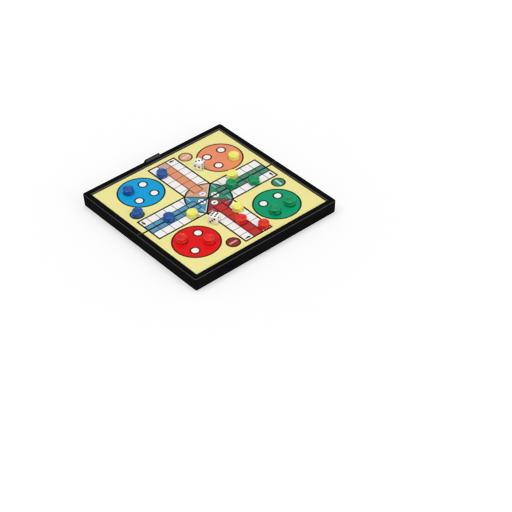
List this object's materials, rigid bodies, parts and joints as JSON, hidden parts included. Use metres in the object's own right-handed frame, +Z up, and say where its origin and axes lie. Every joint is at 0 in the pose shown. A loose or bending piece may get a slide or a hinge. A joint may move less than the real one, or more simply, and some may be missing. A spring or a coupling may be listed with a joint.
{
  "type": "folding magnetic ludo board box",
  "caption": "Travel ludo set: two hinged trays with printed steel faces open flat as the board and fold into the box for its counters and dice, held shut by a clasp.",
  "frame": {"origin": "middle of the open board's footprint, clasp included, at the level of the table that the hinge barrels, the two corner pegs and the clasp's tip stand on", "axes": "+Z up from the table, +X along the fold with the red and blue homes on the left, +Y from the near tray with the red and green homes towards the far tray that carries the clasp"},
  "size_m": [0.2134, 0.2238, 0.0271],
  "materials": {
    "case": "satin black moulded plastic with a soft sheen",
    "print": "glossy printed plastic film in pale yellow, orange, blue, green and red",
    "steel": "plain tinned steel sheet, hidden between the film and the deck",
    "pin": "bright steel wire",
    "magnet": "dull dark ferrite magnet",
    "blue_plastic": "glossy blue moulded plastic",
    "green_plastic": "glossy green moulded plastic",
    "red_plastic": "glossy red moulded plastic",
    "yellow_plastic": "glossy yellow moulded plastic",
    "die": "glossy white plastic with black pips"
  },
  "bodies": {
    "near": {"near_tray": "case", "near_steel": "steel", "near_print": "print", "hinge_pin_left": "pin", "hinge_pin_right": "pin"},
    "far": {"far_tray": "case", "far_steel": "steel", "far_print": "print", "clasp_pin": "pin"},
    "clasp": {"clasp": "case"},
    "blue_1": {"counter_blue_1": "blue_plastic", "magnet_blue_1": "magnet"},
    "blue_2": {"counter_blue_2": "blue_plastic", "magnet_blue_2": "magnet"},
    "blue_3": {"counter_blue_3": "blue_plastic", "magnet_blue_3": "magnet"},
    "blue_4": {"counter_blue_4": "blue_plastic", "magnet_blue_4": "magnet"},
    "green_1": {"counter_green_1": "green_plastic", "magnet_green_1": "magnet"},
    "green_2": {"counter_green_2": "green_plastic", "magnet_green_2": "magnet"},
    "green_3": {"counter_green_3": "green_plastic", "magnet_green_3": "magnet"},
    "green_4": {"counter_green_4": "green_plastic", "magnet_green_4": "magnet"},
    "red_1": {"counter_red_1": "red_plastic", "magnet_red_1": "magnet"},
    "red_2": {"counter_red_2": "red_plastic", "magnet_red_2": "magnet"},
    "red_3": {"counter_red_3": "red_plastic", "magnet_red_3": "magnet"},
    "red_4": {"counter_red_4": "red_plastic", "magnet_red_4": "magnet"},
    "yellow_1": {"counter_yellow_1": "yellow_plastic", "magnet_yellow_1": "magnet"},
    "yellow_2": {"counter_yellow_2": "yellow_plastic", "magnet_yellow_2": "magnet"},
    "yellow_3": {"counter_yellow_3": "yellow_plastic", "magnet_yellow_3": "magnet"},
    "yellow_4": {"counter_yellow_4": "yellow_plastic", "magnet_yellow_4": "magnet"},
    "die_1": {"die_1": "die"},
    "die_2": {"die_2": "die"}
  },
  "joints": [
    {"name": "board_fold", "type": "hinge", "parent": "near", "child": "far", "pos_m": [0, -0.00476, 0.0016], "axis": [-1, 0, 0], "range_deg": [0, 180]},
    {"name": "clasp_swing", "type": "hinge", "parent": "far", "child": "clasp", "pos_m": [0, 0.10174, 0.01555], "axis": [-1, 0, 0], "range_deg": [-40, 26.7]},
    {"name": "die_1_lift", "type": "slide", "parent": "far", "child": "die_1", "axis": [0, 0, 1], "range_m": [0, 0.03]},
    {"name": "die_2_lift", "type": "slide", "parent": "near", "child": "die_2", "axis": [0, 0, 1], "range_m": [0, 0.03]},
    {"name": "piece_blue_1_lift", "type": "slide", "parent": "far", "child": "blue_1", "axis": [0, 0, 1], "range_m": [0, 0.03]},
    {"name": "piece_blue_2_lift", "type": "slide", "parent": "far", "child": "blue_2", "axis": [0, 0, 1], "range_m": [0, 0.03]},
    {"name": "piece_blue_3_lift", "type": "slide", "parent": "far", "child": "blue_3", "axis": [0, 0, 1], "range_m": [0, 0.03]},
    {"name": "piece_blue_4_lift", "type": "slide", "parent": "far", "child": "blue_4", "axis": [0, 0, 1], "range_m": [0, 0.03]},
    {"name": "piece_green_1_lift", "type": "slide", "parent": "far", "child": "green_1", "axis": [0, 0, 1], "range_m": [0, 0.03]},
    {"name": "piece_green_2_lift", "type": "slide", "parent": "near", "child": "green_2", "axis": [0, 0, 1], "range_m": [0, 0.03]},
    {"name": "piece_green_3_lift", "type": "slide", "parent": "near", "child": "green_3", "axis": [0, 0, 1], "range_m": [0, 0.03]},
    {"name": "piece_green_4_lift", "type": "slide", "parent": "near", "child": "green_4", "axis": [0, 0, 1], "range_m": [0, 0.03]},
    {"name": "piece_red_1_lift", "type": "slide", "parent": "near", "child": "red_1", "axis": [0, 0, 1], "range_m": [0, 0.03]},
    {"name": "piece_red_2_lift", "type": "slide", "parent": "near", "child": "red_2", "axis": [0, 0, 1], "range_m": [0, 0.03]},
    {"name": "piece_red_3_lift", "type": "slide", "parent": "near", "child": "red_3", "axis": [0, 0, 1], "range_m": [0, 0.03]},
    {"name": "piece_red_4_lift", "type": "slide", "parent": "near", "child": "red_4", "axis": [0, 0, 1], "range_m": [0, 0.03]},
    {"name": "piece_yellow_1_lift", "type": "slide", "parent": "far", "child": "yellow_1", "axis": [0, 0, 1], "range_m": [0, 0.03]},
    {"name": "piece_yellow_2_lift", "type": "slide", "parent": "far", "child": "yellow_2", "axis": [0, 0, 1], "range_m": [0, 0.03]},
    {"name": "piece_yellow_3_lift", "type": "slide", "parent": "near", "child": "yellow_3", "axis": [0, 0, 1], "range_m": [0, 0.03]},
    {"name": "piece_yellow_4_lift", "type": "slide", "parent": "near", "child": "yellow_4", "axis": [0, 0, 1], "range_m": [0, 0.03]}
  ]
}
